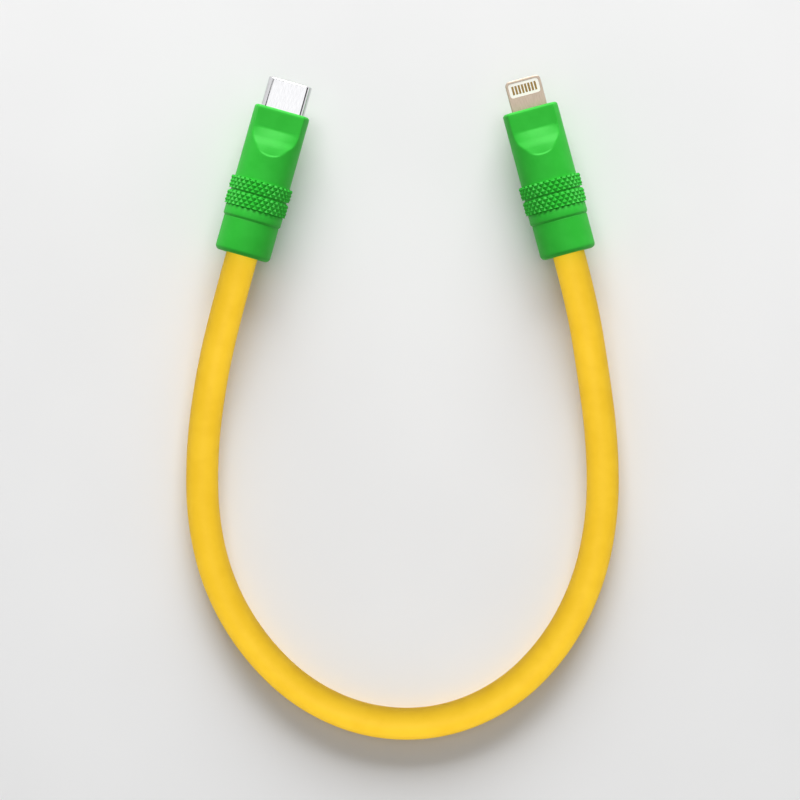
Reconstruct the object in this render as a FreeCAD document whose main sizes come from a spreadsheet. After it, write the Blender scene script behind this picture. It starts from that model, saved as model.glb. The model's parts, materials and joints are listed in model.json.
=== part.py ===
import FreeCAD
import Part
import math
import os
import re
import Sketcher
from FreeCAD import Placement, Rotation, Vector

# A short thick charging cable: a round cord with an oval 24-place plug on one end and a flat 8-contact tab plug on
# the other. It lies on a table: Z = 0 is the table top, both plugs point towards +Y, and the cord loops towards -Y.
#
# Each plug is drawn in a frame of its own. Its origin is the middle of the moulded body's front face, +Y points out
# of the plug, X runs across it and Z through its thickness. A depth is measured from that face back towards the
# cord, so what lies at a depth lies at Y = -depth.

# Driving sizes, in millimetres and degrees
SIZES = {
    # The cord
    "cord_diameter": 6.0,
    "core_diameter": 3.4,
    "core_reach": 0.2,
    # Where the two plugs lie
    "oval_plug_x": -22.81,
    "oval_plug_y": 10.73,
    "oval_plug_lean": -15.7,
    "oval_straight_run": 10.9,
    "tab_plug_x": 23.13,
    "tab_plug_y": 11.16,
    "tab_plug_lean": 15.0,
    "tab_straight_run": 9.9,
    # The moulded body, which is the same on both plugs
    "body_length": 28.0,
    "barrel_diameter": 10.5,
    "grip_thickness": 6.4,
    "grip_length": 4.15,
    "scoop_length": 4.8,
    "scoop_radius": 13.1,
    "front_chamfer": 0.3,
    "rear_edge_radius": 0.8,
    "collar_depth": 13.9,
    "collar_rise": 0.25,
    "collar_ring_length": 1.5,
    "collar_chamfer": 0.55,
    # The two knurled bands on the collar
    "knurl_row_spacing": 0.85,
    "knurl_tooth_height": 0.34,
    "knurl_root_rise": 0.06,
    "knurl_groove": 0.4,
    "knurl_bite": 0.3,
    # The shield can's two halves, and the ring crimped on the cord behind them
    "can_depth": 4.4,
    "can_length": 9.6,
    "can_wall": 0.2,
    "can_side_room": 0.225,
    "can_top_room": 0.5,
    "can_seam": 0.04,
    "crimp_ring_wall": 0.4,
    "crimp_ring_length": 2.4,
    # The four insulated wires
    "wire_diameter": 1.0,
    "strand_diameter": 0.5,
    "wire_spacing": 1.5,
    "wire_length": 1.6,
    "strand_length": 1.8,
    # The oval plug's shell and the housing inside it
    "shell_width": 8.25,
    "shell_height": 2.4,
    "shell_wall": 0.25,
    "shell_reach": 5.55,
    "shell_lip": 0.12,
    "tip_anchor": 0.6,
    "housing_recess": 0.4,
    "slot_side_wall": 0.375,
    "slot_height": 0.9,
    "slot_length": 5.6,
    "chamber_height": 1.4,
    "chamber_lip": 0.7,
    # The oval plug's contacts, stamped from a strip
    "contact_pitch": 0.5,
    "contact_width": 0.25,
    "contact_thickness": 0.15,
    "contact_tail_length": 1.5,
    "contact_mouth": 0.56,
    "contact_point_setback": 1.7,
    "contact_bend_length": 0.25,
    "contact_tip_length": 0.4,
    # The oval plug's latch plate and ground springs
    "latch_thickness": 0.2,
    "latch_arm_width": 0.15,
    "latch_side_wall": 0.175,
    "latch_hook": 0.35,
    "latch_hook_setback": 1.6,
    "latch_bar_length": 4.0,
    "spring_side_room": 0.125,
    "spring_length": 4.4,
    "spring_setback": 0.4,
    "spring_thickness": 0.1,
    "spring_slit": 0.4,
    # The oval plug's circuit board
    "board_side_room": 0.35,
    "board_setback": 1.7,
    "oval_board_thickness": 0.8,
    "resistor_length": 1.0,
    "resistor_width": 0.5,
    "resistor_height": 0.35,
    "resistor_x": 2.6,
    "resistor_setback": 3.9,
    # The tab plug's metal frame
    "tab_width": 6.7,
    "tab_thickness": 1.5,
    "tab_reach": 5.75,
    "tab_corner_radius": 0.9,
    "tab_edge_chamfer": 0.15,
    "flange_depth": 0.9,
    "flange_length": 1.9,
    "flange_overhang": 0.75,
    "flange_rise": 0.4,
    "detent_radius": 0.75,
    "detent_bite": 0.32,
    "detent_height": 0.9,
    "detent_setback": 4.2,
    # The tab plug's contact insert
    "window_width": 5.8,
    "window_length": 2.72,
    "window_corner_radius": 0.55,
    "window_rim": 0.5,
    "insert_recess": 0.04,
    "pad_pitch": 0.61,
    "pad_width": 0.34,
    "pad_length": 1.6,
    "pad_recess": 0.06,
    # The tab plug's circuit board and what is soldered on it
    "tab_board_thickness": 0.6,
    "tongue_width": 5.3,
    "tongue_setback": 1.0,
    "chip_side": 2.4,
    "chip_height": 0.55,
    "chip_setback": 2.4,
    "capacitor_length": 1.0,
    "capacitor_width": 0.5,
    "capacitor_height": 0.5,
    "capacitor_x": 2.4,
    "capacitor_setback": 1.9,
    "capacitor_spacing": 1.2,
    # Clearances
    "mould_gap": 0.02,
    "slip_gap": 0.05,
}

JACKET_SIDES = 16
CORE_SIDES = 6
KNURL_TOOTH_COUNT = 30
KNURL_ROWS = 3
OVAL_PLACE_COUNT = 12
UPPER_CONTACTS = (0, 3, 4, 5, 6, 8, 11)
LOWER_CONTACTS = (0, 3, 4, 8, 11)
TAB_CONTACTS = 8

# The cord's route between the two straight runs that leave the plugs, chosen by hand along its centre line
LOOP = [
    Vector(-36.2, -39.0, 3.1),
    Vector(-37.9, -52.0, 3.0),
    Vector(-37.8, -65.5, 3.0),
    Vector(-34.7, -78.1, 3.0),
    Vector(-28.0, -89.4, 3.0),
    Vector(-18.4, -98.4, 3.0),
    Vector(-6.3, -103.4, 3.0),
    Vector(6.8, -103.4, 3.0),
    Vector(18.8, -98.3, 3.0),
    Vector(27.9, -89.3, 3.0),
    Vector(34.1, -77.6, 3.0),
    Vector(36.9, -64.2, 3.0),
    Vector(36.7, -50.3, 3.0),
    Vector(34.9, -37.1, 3.1),
]

document = FreeCAD.newDocument("charging_cable")
sheet = document.addObject("Spreadsheet::Sheet", "Sizes")
for row, (name, size) in enumerate(SIZES.items(), start=1):
    sheet.set(f"A{row}", name)
    sheet.set(f"B{row}", str(size))
    sheet.setAlias(f"B{row}", name)
document.recompute()

pieces = []


# Sizes and sketches


def bound(words):
    """Turns an expression in the sizes' names into one on the sheet's cells."""
    return re.sub(r"[a-z]\w*", lambda word: f"Sizes.{word[0]}" if word[0] in SIZES else word[0], words)


def measure(words):
    """The value of an expression in the sizes' names."""
    return float(sheet.evalExpression(bound(words)))


def rectangle(left, right, low, high):
    """A closed outline from its four sides."""
    return [(right, low), (right, high), (left, high), (left, low)]


def centred(width, height):
    """A rectangle about the origin."""
    return rectangle(f"-({width}) / 2", f"({width}) / 2", f"-({height}) / 2", f"({height}) / 2")


def stadium(width, height):
    """A round-ended oval about the origin, with each end drawn as two quarter circles."""
    radius, straight = f"({height}) / 2", f"(({width}) - ({height})) / 2"
    return [
        (straight, f"-({radius})"),
        (f"({width}) / 2", "0", radius),
        (straight, radius, radius),
        (f"-({straight})", radius),
        (f"-({width}) / 2", "0", radius),
        (f"-({straight})", f"-({radius})", radius),
    ]


def rounded(left, right, low, high, radius):
    """A rectangle with four round corners."""
    return [
        (f"({right}) - ({radius})", low),
        (right, f"({low}) + ({radius})", radius),
        (right, f"({high}) - ({radius})"),
        (f"({right}) - ({radius})", high, radius),
        (f"({left}) + ({radius})", high),
        (left, f"({high}) - ({radius})", radius),
        (left, f"({low}) + ({radius})"),
        (f"({left}) + ({radius})", low, radius),
    ]


def hexagon(diameter, across="0", up="0"):
    """A regular hexagon with the given distance between opposite corners, two of which lie level."""
    corners = []
    for side in range(CORE_SIDES):
        angle = f"{side * 360 / CORE_SIDES} deg"
        corners.append((f"{across} + ({diameter}) / 2 * cos({angle})", f"{up} + ({diameter}) / 2 * sin({angle})"))
    return corners


def circle(diameter, across="0", up="0"):
    """A circle's diameter and centre, for a sketch."""
    return {"diameter": diameter, "across": across, "up": up}


def arc_between(start, end, radius):
    """An arc of under half a turn, which turns left on the way if its radius is positive."""
    chord = end - start
    rise = math.sqrt(max(radius**2 - (chord.Length / 2) ** 2, 0))
    left = Vector(-chord.y, chord.x, 0).normalize()
    centre = (start + end) / 2 + left * math.copysign(rise, radius)
    first, last = (start, end) if radius > 0 else (end, start)
    angles = [math.atan2(point.y - centre.y, point.x - centre.x) for point in (first, last)]
    return Part.ArcOfCircle(Part.Circle(centre, Vector(0, 0, 1), abs(radius)), *angles)


def constrain(sketch, kind, *target):
    """Adds a dimension whose value is the expression that comes last."""
    number = sketch.addConstraint(Sketcher.Constraint(kind, *target[:-1], measure(target[-1])))
    sketch.setExpression(f"Constraints[{number}]", bound(target[-1]))


def draw_outline(sketch, corners):
    """Draws a closed outline. A corner is x and y, and the radius of the arc that arrives there, if one does."""
    points = [Vector(measure(corner[0]), measure(corner[1]), 0) for corner in corners]
    first = sketch.GeometryCount
    ends = []
    for place, corner in enumerate(corners):
        start, end = points[place - 1], points[place]
        if len(corner) == 3:
            radius = measure(corner[2])
            sketch.addGeometry(arc_between(start, end, radius))
            ends.append((1, 2) if radius > 0 else (2, 1))
        else:
            sketch.addGeometry(Part.LineSegment(start, end))
            ends.append((1, 2))
    for place, corner in enumerate(corners):
        line, before = first + place, first + (place - 1) % len(corners)
        sketch.addConstraint(Sketcher.Constraint("Coincident", before, ends[place - 1][1], line, ends[place][0]))
        constrain(sketch, "DistanceX", -1, 1, line, ends[place][1], corner[0])
        constrain(sketch, "DistanceY", -1, 1, line, ends[place][1], corner[1])
        if len(corner) == 3:
            constrain(sketch, "Radius", line, f"abs({corner[2]})")


def draw_circle(sketch, diameter, across, up):
    """Draws a circle."""
    centre = Vector(measure(across), measure(up), 0)
    ring = sketch.addGeometry(Part.Circle(centre, Vector(0, 0, 1), measure(diameter) / 2))
    constrain(sketch, "DistanceX", -1, 1, ring, 3, across)
    constrain(sketch, "DistanceY", -1, 1, ring, 3, up)
    constrain(sketch, "Diameter", ring, diameter)


# Features. Outlines drawn ACROSS a plug stack along its depth, PLAN outlines along Z, and SIDE outlines along X.

ACROSS = "XZ_Plane"
PLAN = "XY_Plane"
SIDE = "YZ_Plane"


def new_body(name):
    """An empty body."""
    body = document.addObject("PartDesign::Body", name)
    document.recompute()
    return body


def origin_feature(body, role):
    """One of the body's own origin planes or axes."""
    return next(feature for feature in body.Origin.OriginFeatures if feature.Role == role)


def sketch_on(body, plane, outlines, offset="0"):
    """A sketch on a body's own origin plane, moved along the plane's normal."""
    sketch = body.newObject("Sketcher::SketchObject", "Outline")
    sketch.AttachmentSupport = (origin_feature(body, plane), [""])
    sketch.MapMode = "FlatFace"
    sketch.setExpression(".AttachmentOffset.Base.z", bound(offset))
    for outline in outlines:
        if isinstance(outline, dict):
            draw_circle(sketch, **outline)
        else:
            draw_outline(sketch, outline)
    return sketch


def pad(body, plane, start, stop, *outlines):
    """Adds material between two distances along the plane's normal."""
    feature = body.newObject("PartDesign::Pad", "Pad")
    feature.Profile = sketch_on(body, plane, outlines, start)
    feature.setExpression("Length", bound(f"({stop}) - ({start})"))
    return feature


def pocket(body, plane, start, stop, *outlines):
    """Takes material away between two distances along the plane's normal."""
    feature = body.newObject("PartDesign::Pocket", "Pocket")
    feature.Profile = sketch_on(body, plane, outlines, start)
    feature.Reversed = True
    feature.setExpression("Length", bound(f"({stop}) - ({start})"))
    return feature


def mirror(body, feature, plane):
    """Mirrors a feature in one of the body's own origin planes."""
    mirrored = body.newObject("PartDesign::Mirrored", "Mirrored")
    mirrored.Originals = [feature]
    mirrored.MirrorPlane = (origin_feature(body, plane), [""])
    body.Tip = mirrored
    return mirrored


def chamfer(body, size, wanted):
    """Chamfers every edge of the body's last feature for which wanted(edge) is true."""
    document.recompute()
    base = body.Tip
    names = [f"Edge{i}" for i, edge in enumerate(base.Shape.Edges, start=1) if wanted(edge)]
    feature = body.newObject("PartDesign::Chamfer", "Chamfer")
    feature.Base = (base, names)
    feature.setExpression("Size", bound(size))
    return feature


def keep(piece, label, place):
    """Names a finished piece, puts it in its place and lists it for export."""
    piece.Label = label
    piece.Placement = place
    pieces.append(piece)
    return piece


# Where the plugs lie, and what is stacked along their depth

COLLAR_DIAMETER = "(barrel_diameter + 2 * collar_rise)"
KNURL_DIAMETER = f"({COLLAR_DIAMETER} + 2 * knurl_root_rise + 2 * knurl_tooth_height)"
CAN_WIDTH = "(shell_width + 2 * can_side_room)"
CAN_HEIGHT = "(shell_height + 2 * can_top_room)"
CAN_END = "(can_depth + can_length)"
CORE_END = f"({CAN_END} - can_wall - core_reach)"
WIRE_END = f"({CORE_END} - wire_length)"
STRAND_END = f"({WIRE_END} - strand_length)"
BOARD_END = f"({CORE_END} - board_setback)"
TIP_END = "(can_depth + tip_anchor)"
BOARD_START = f"({TIP_END} + 2 * slip_gap)"
RING_START = f"({CAN_END} + slip_gap)"
RING_END = f"({RING_START} + crimp_ring_length)"
RING_BORE = "(core_diameter + 2 * slip_gap)"
RING_DIAMETER = f"({RING_BORE} + 2 * crimp_ring_wall)"
JACKET_END = f"({RING_END} + 2 * slip_gap)"


def plug_place(plug):
    """Puts a plug flat on the table, resting on the tips of its knurled bands."""
    at = Vector(measure(f"{plug}_x"), measure(f"{plug}_y"), measure(f"{KNURL_DIAMETER} / 2"))
    return Placement(at, Rotation(Vector(0, 0, 1), measure(f"{plug}_lean")))


OVAL = plug_place("oval_plug")
TAB = plug_place("tab_plug")
UPSIDE_DOWN = Placement(Vector(), Rotation(Vector(0, 1, 0), 180))


# The cord


def loop_route():
    """The route from one plug's rear face to the other's."""
    oval_ends = [OVAL * Vector(0, -measure(f"body_length{more}"), 0) for more in ("", " + oval_straight_run")]
    tab_ends = [TAB * Vector(0, -measure(f"body_length{more}"), 0) for more in (" + tab_straight_run", "")]
    return oval_ends + LOOP + tab_ends


def cord_path(end_depth):
    """The cord's line: straight runs joined by the largest arcs that they leave room for."""
    route = loop_route()
    depth = measure(end_depth)
    at = OVAL * Vector(0, -depth, 0)
    edges, radii = [], []
    for before, corner, after in zip(route, route[1:], route[2:]):
        come, go = corner - before, after - corner
        reach = 0.45 * min(come.Length, go.Length)
        turn = come.getAngle(go)
        radius = reach / math.tan(turn / 2)
        come.normalize()
        go.normalize()
        start, end = corner - come * reach, corner + go * reach
        inwards = (go - come).normalize()
        middle = corner + inwards * (radius / math.cos(turn / 2) - radius)
        edges.append(Part.LineSegment(at, start).toShape())
        edges.append(Part.Arc(start, middle, end).toShape())
        radii.append(radius)
        at = end
    edges.append(Part.LineSegment(at, TAB * Vector(0, -depth, 0)).toShape())
    return Part.Wire(edges), radii


def swept_rod(name, path, diameter, sides):
    """A many-sided rod along the cord's line, drawn from the oval plug on."""
    radius = measure(diameter) / 2
    start = path.Edges[0].Vertexes[0].Point
    corners = []
    for side in range(sides):
        angle = math.tau * side / sides
        around = Vector(radius * math.cos(angle), 0, radius * math.sin(angle))
        corners.append(start + OVAL.Rotation.multVec(around))
    section = Part.Face(Part.makePolygon([*corners, corners[0]]))
    rod = document.addObject("Part::Feature", name)
    rod.Shape = path.makePipe(section)
    expected = section.Area * path.Length
    print(f"{name}: length {path.Length:.1f}, volume {rod.Shape.Volume:.1f} for {expected:.1f} expected")
    return rod


def make_cord():
    """The jacket, and the bundle of wires, filler and shield that it covers."""
    path, radii = cord_path(JACKET_END)
    print("bend radii", ", ".join(f"{radius:.0f}" for radius in radii))
    jacket = document.addObject("Part::Cut", "cable_jacket")
    jacket.Base = swept_rod("jacket_outside", path, "cord_diameter", JACKET_SIDES)
    jacket.Tool = swept_rod("jacket_bore", path, "core_diameter + 2 * slip_gap", CORE_SIDES)
    jacket.Refine = False
    keep(jacket, "cable_jacket", Placement())
    core = swept_rod("cable_core", cord_path(CORE_END)[0], "core_diameter", CORE_SIDES)
    keep(core, "cable_core", Placement())


# The moulded body

BARREL = "(barrel_diameter / 2)"
COLLAR = f"({COLLAR_DIAMETER} / 2)"
KNURL_BAND = f"(knurl_row_spacing * {KNURL_ROWS})"
SECOND_BAND = f"(collar_depth + {KNURL_BAND} + knurl_groove)"
COLLAR_END = f"({SECOND_BAND} + {KNURL_BAND} + collar_ring_length)"


def turned_body(body):
    """The body's round form: a barrel, a raised collar and a sleeve with a round rear edge."""
    soft = "rear_edge_radius"
    profile = [
        ("-body_length", "0"),
        ("0", "0"),
        ("0", f"{BARREL} - front_chamfer"),
        ("-front_chamfer", BARREL),
        ("-collar_depth - knurl_bite", BARREL),
        ("-collar_depth - knurl_bite", COLLAR),
        (f"-{COLLAR_END}", COLLAR),
        (f"-{COLLAR_END} - collar_chamfer", BARREL),
        (f"-body_length + {soft}", BARREL),
        (f"-body_length + {soft} * (1 - sin(45 deg))", f"{BARREL} - {soft} * (1 - cos(45 deg))"),
        ("-body_length", f"{BARREL} - {soft}"),
    ]
    sketch = sketch_on(body, SIDE, [profile])
    revolution = body.newObject("PartDesign::Revolution", "Barrel")
    revolution.Profile = sketch
    revolution.ReferenceAxis = (sketch, ["H_Axis"])


def scoop(body):
    """The flat at the front for finger and thumb, and the hollow ramp that rises from it to the barrel."""
    half = "grip_thickness / 2"
    above = "barrel_diameter"
    ramp_end = "-grip_length - scoop_length"
    outline = [
        ("front_chamfer", half),
        ("front_chamfer", above),
        (ramp_end, above),
        (ramp_end, BARREL),
        ("-grip_length", half, "scoop_radius"),
    ]
    cut = pocket(body, SIDE, f"-{BARREL}", BARREL, outline)
    mirror(body, cut, PLAN)


def knurl_band(name, start):
    """A ring of staggered four-sided points, as two rollers press them. Both its edges run through a row of them."""
    spacing = measure("knurl_row_spacing")
    front = measure(start)
    tip = measure(f"{KNURL_DIAMETER} / 2")
    valley = measure(f"{KNURL_DIAMETER} / 2 - knurl_tooth_height")
    columns = 2 * KNURL_TOOTH_COUNT

    def lattice(column, row):
        angle = math.tau * column / columns - math.tau / 4
        radius = tip if (column + row) % 2 == 0 else valley
        return Vector(radius * math.cos(angle), -front - row * spacing, radius * math.sin(angle))

    outlines = []
    for row in range(KNURL_ROWS):
        for column in range(columns):
            near, beside = lattice(column, row), lattice(column + 1, row)
            behind, across = lattice(column, row + 1), lattice(column + 1, row + 1)
            if (column + row) % 2 == 0:
                outlines += [(near, beside, behind), (beside, across, behind)]
            else:
                outlines += [(near, beside, across), (near, across, behind)]
    for row in (0, KNURL_ROWS):
        outlines.append([lattice(column, row) for column in range(columns)])
    shell = Part.makeShell([Part.Face(Part.makePolygon([*corners, corners[0]])) for corners in outlines])
    shell.sewShape()
    root = Part.makeCylinder(measure(f"{COLLAR} - knurl_bite"), measure("body_length"), Vector(), Vector(0, -1, 0))
    band = document.addObject("Part::Feature", name)
    band.Shape = Part.makeSolid(shell).cut(root)
    return band


def make_moulded_body(plug, place, section, flange=None):
    """The outer moulding: grip, collar, knurled bands and sleeve, hollow where it wraps what is inside."""
    body = new_body(f"{plug}_moulding")
    turned_body(body)
    scoop(body)
    pocket(body, ACROSS, "-front_chamfer", "can_depth", section("mould_gap"))
    if flange:
        pocket(body, ACROSS, "flange_depth - mould_gap", "flange_depth + flange_length + mould_gap", flange)
    room = "2 * mould_gap"
    can = centred(f"{CAN_WIDTH} + {room}", f"{CAN_HEIGHT} + {room}")
    pocket(body, ACROSS, "can_depth - mould_gap", f"{CAN_END} + mould_gap", can)
    pocket(body, ACROSS, CAN_END, JACKET_END, hexagon(f"{RING_DIAMETER} + {room}"))
    pocket(body, ACROSS, f"{JACKET_END} - mould_gap", "body_length + front_chamfer", circle(f"cord_diameter + {room}"))
    whole = document.addObject("Part::MultiFuse", f"{plug}_body")
    whole.Shapes = [
        body,
        knurl_band(f"{plug}_front_knurl", "collar_depth"),
        knurl_band(f"{plug}_rear_knurl", SECOND_BAND),
    ]
    whole.Refine = False
    keep(whole, f"{plug}_body", place)


# What both plugs hold behind their tips


def make_can_half(label, place, window):
    """One half of the folded steel can round the circuit board, with windows for the tip and the cord's core."""
    body = new_body(label)
    half_width, half_height = f"{CAN_WIDTH} / 2", f"{CAN_HEIGHT} / 2"
    outside = rectangle(f"-{half_width}", half_width, "can_seam / 2", half_height)
    inside = rectangle(f"-{half_width} + can_wall", f"{half_width} - can_wall", "-can_wall", f"{half_height} - can_wall")
    pad(body, ACROSS, "can_depth", CAN_END, outside)
    pocket(body, ACROSS, "can_depth + can_wall", f"{CAN_END} - can_wall", inside)
    pocket(body, ACROSS, "can_depth - can_wall", "can_depth + 2 * can_wall", window)
    hole = centred("core_diameter + 2 * mould_gap", "core_diameter + 2 * mould_gap")
    pocket(body, ACROSS, f"{CAN_END} - 2 * can_wall", f"{CAN_END} + can_wall", hole)
    keep(body, label, place)


def make_crimp_ring(plug, place):
    """The ring squeezed six-sided on the cord's core behind the can."""
    body = new_body(f"{plug}_crimp_ring")
    pad(body, ACROSS, RING_START, RING_END, hexagon(RING_DIAMETER), hexagon(RING_BORE))
    keep(body, f"{plug}_crimp_ring", place)


def make_wires(plug, place, board_thickness):
    """The four wires that leave the core, each stripped and laid on its pad of the board."""
    rise = f"({board_thickness} / 2 + strand_diameter / 2 + mould_gap)"
    side = "wire_spacing / 2"
    wires = {
        "power_wire": (f"-{side}", rise),
        "ground_wire": (side, rise),
        "data_plus_wire": (f"-{side}", f"-{rise}"),
        "data_minus_wire": (side, f"-{rise}"),
    }
    for name, (across, up) in wires.items():
        body = new_body(f"{plug}_{name}")
        pad(body, ACROSS, WIRE_END, f"{CORE_END} - mould_gap", hexagon("wire_diameter", across, up))
        pad(body, ACROSS, STRAND_END, WIRE_END, hexagon("strand_diameter", across, up))
        keep(body, f"{plug}_{name}", place)


def make_blocks(label, place, bottom, width, length, height, *centres):
    """Small rectangular components that stand on a board."""
    body = new_body(label)
    plans = []
    for across, depth in centres:
        left, right = f"{across} - {width} / 2", f"{across} + {width} / 2"
        plans.append(rectangle(left, right, f"-({depth}) - {length} / 2", f"-({depth}) + {length} / 2"))
    pad(body, PLAN, bottom, f"{bottom} + {height}", *plans)
    keep(body, label, place)


def make_backshell(plug, place, width, height):
    """The can and the crimp ring."""
    window = centred(f"{width} + 2 * mould_gap", f"{height} + 2 * mould_gap")
    make_can_half(f"{plug}_upper_can", place, window)
    make_can_half(f"{plug}_lower_can", place * UPSIDE_DOWN, window)
    make_crimp_ring(plug, place)


# The oval plug

HOUSING_FRONT = "(shell_reach - housing_recess)"
HOUSING_END = f"({TIP_END} - housing_recess)"
SLOT_END = f"({HOUSING_FRONT} - slot_length)"
HOUSING_WIDTH = "(shell_width - 2 * (shell_wall + slip_gap))"
HOUSING_HEIGHT = "(shell_height - 2 * (shell_wall + slip_gap))"
SLOT_WIDTH = f"({HOUSING_WIDTH} - 2 * slot_side_wall)"
LATCH_SPAN = f"({HOUSING_WIDTH} - 2 * latch_side_wall)"
SPRING_WIDTH = f"({HOUSING_WIDTH} - {HOUSING_HEIGHT} - 2 * spring_side_room)"
CONTACT_ROW = f"(({OVAL_PLACE_COUNT} - 1) * contact_pitch + contact_width)"
CONTACT_SEAT = "(oval_board_thickness / 2 + mould_gap)"


def oval_section(gap="0"):
    """The shell's outline, or the hole that it fits."""
    return stadium(f"shell_width + 2 * ({gap})", f"shell_height + 2 * ({gap})")


def make_shell():
    """The drawn steel shell: a round-ended tube with its outer lip broken."""
    body = new_body("oval_plug_shell")
    bore = stadium("shell_width - 2 * shell_wall", "shell_height - 2 * shell_wall")
    pad(body, ACROSS, "-shell_reach", TIP_END, oval_section(), bore)
    mouth = measure("shell_reach")
    wide = measure("(shell_width - shell_wall) / 2")
    tall = measure("(shell_height - shell_wall) / 2")

    def on_outer_lip(edge):
        box = edge.BoundBox
        outside = max(abs(box.XMin), abs(box.XMax)) > wide or max(abs(box.ZMin), abs(box.ZMax)) > tall
        return box.YMin > mouth - 0.01 and outside

    chamfer(body, "shell_lip", on_outer_lip)
    keep(body, "oval_plug_shell", OVAL)


def make_housing():
    """The plastic housing that fills the shell, with the slot that takes the socket's tongue."""
    body = new_body("oval_plug_contact_housing")
    pad(body, ACROSS, f"-{HOUSING_FRONT}", HOUSING_END, stadium(HOUSING_WIDTH, HOUSING_HEIGHT))
    pocket(body, ACROSS, f"-{HOUSING_FRONT} - slip_gap", f"-{SLOT_END}", centred(SLOT_WIDTH, "slot_height"))
    row_width = f"({CONTACT_ROW} + 2 * slip_gap)"
    chamber = centred(row_width, "chamber_height")
    pocket(body, ACROSS, f"-{HOUSING_FRONT} + chamber_lip", f"-{SLOT_END}", chamber)
    low, high = f"{CONTACT_SEAT} - mould_gap", f"{CONTACT_SEAT} + contact_thickness + mould_gap"
    tails = rectangle(f"-{row_width} / 2", f"{row_width} / 2", low, high)
    passage = pocket(body, ACROSS, f"-{SLOT_END} - slip_gap", f"{HOUSING_END} + slip_gap", tails)
    mirror(body, passage, PLAN)
    plate = centred(f"{LATCH_SPAN} + 2 * mould_gap", "latch_thickness + 2 * mould_gap")
    hook_room = f"-{HOUSING_FRONT} + latch_hook_setback - latch_hook - latch_arm_width - slip_gap"
    pocket(body, ACROSS, hook_room, f"{HOUSING_END} + slip_gap", plate)
    top = f"{HOUSING_HEIGHT} / 2"
    seat_front = f"{HOUSING_FRONT} - spring_setback + mould_gap"
    seat_back = f"{HOUSING_FRONT} - spring_setback - spring_length - mould_gap"
    seat_side = f"{SPRING_WIDTH} / 2 + mould_gap"
    seat = rectangle(f"-({seat_side})", seat_side, seat_back, seat_front)
    recess = pocket(body, PLAN, f"{top} - spring_thickness - mould_gap", f"{top} + slip_gap", seat)
    mirror(body, recess, PLAN)
    keep(body, "oval_plug_contact_housing", OVAL)


def make_contact_row(label, place, filled):
    """A row of sprung contacts, cut from one bent strip at the places that this cable uses."""
    body = new_body(label)
    seat, touch, thick = CONTACT_SEAT, "(contact_mouth / 2)", "contact_thickness"
    tail = f"-{BOARD_START} - contact_tail_length"
    point = f"({HOUSING_FRONT} - contact_point_setback)"
    behind, ahead = f"{point} - contact_bend_length", f"{point} + contact_bend_length"
    tip = f"{ahead} + contact_tip_length"
    strip = [
        (tail, seat),
        (SLOT_END, seat),
        (behind, touch),
        (ahead, touch),
        (tip, f"{touch} + {thick}"),
        (tip, f"{touch} + 2 * {thick}"),
        (ahead, f"{touch} + {thick}"),
        (behind, f"{touch} + {thick}"),
        (SLOT_END, f"{seat} + {thick}"),
        (tail, f"{seat} + {thick}"),
    ]
    pad(body, SIDE, f"-{CONTACT_ROW} / 2", f"{CONTACT_ROW} / 2", strip)
    gaps = []
    for before, after in zip(filled, filled[1:]):
        left = f"({before} - {OVAL_PLACE_COUNT - 1} / 2) * contact_pitch + contact_width / 2"
        right = f"({after} - {OVAL_PLACE_COUNT - 1} / 2) * contact_pitch - contact_width / 2"
        gaps.append(rectangle(left, right, f"{tail} - slip_gap", f"{tip} + slip_gap"))
    pocket(body, PLAN, "0", "shell_height", *gaps)
    keep(body, label, place)


def make_latch_plate():
    """The spring steel plate between the contact rows, whose two arms hook the sides of the socket's tongue."""
    body = new_body("oval_plug_latch_plate")
    span, arm = f"{LATCH_SPAN} / 2", "latch_arm_width"
    hook = f"({HOUSING_FRONT} - latch_hook_setback)"
    bar_back = f"-{HOUSING_END} + slip_gap"
    bar_front = f"{bar_back} + latch_bar_length"
    half = [
        ("0", bar_back),
        (span, bar_back),
        (span, hook),
        (f"{span} - latch_hook", f"{hook} + latch_hook"),
        (f"{span} - latch_hook", f"{hook} + latch_hook + {arm}"),
        (f"{span} - latch_hook - {arm}", f"{hook} + latch_hook + {arm}"),
        (f"{span} - latch_hook - {arm}", f"{hook} + latch_hook - {arm} / 2"),
        (f"{span} - {arm}", f"{hook} - {arm} / 2"),
        (f"{span} - {arm}", bar_front),
        ("0", bar_front),
    ]
    plate = pad(body, PLAN, "-latch_thickness / 2", "latch_thickness / 2", half)
    mirror(body, plate, SIDE)
    keep(body, "oval_plug_latch_plate", OVAL)


def make_ground_spring(label, place):
    """A thin shielding spring on the housing, slit into fingers."""
    body = new_body(label)
    top = f"{HOUSING_HEIGHT} / 2"
    front = f"({HOUSING_FRONT} - spring_setback)"
    outline = rectangle(f"-{SPRING_WIDTH} / 2", f"{SPRING_WIDTH} / 2", f"{front} - spring_length", front)
    pad(body, PLAN, f"{top} - spring_thickness", top, outline)
    slits = []
    for side in ("-", ""):
        left = f"{side}{SPRING_WIDTH} / 6 - spring_slit / 2"
        right = f"{side}{SPRING_WIDTH} / 6 + spring_slit / 2"
        slits.append(rectangle(left, right, f"{front} - spring_length * 3 / 4", f"{front} + slip_gap"))
    pocket(body, PLAN, f"{top} - 2 * spring_thickness", f"{top} + slip_gap", *slits)
    keep(body, label, place)


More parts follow.
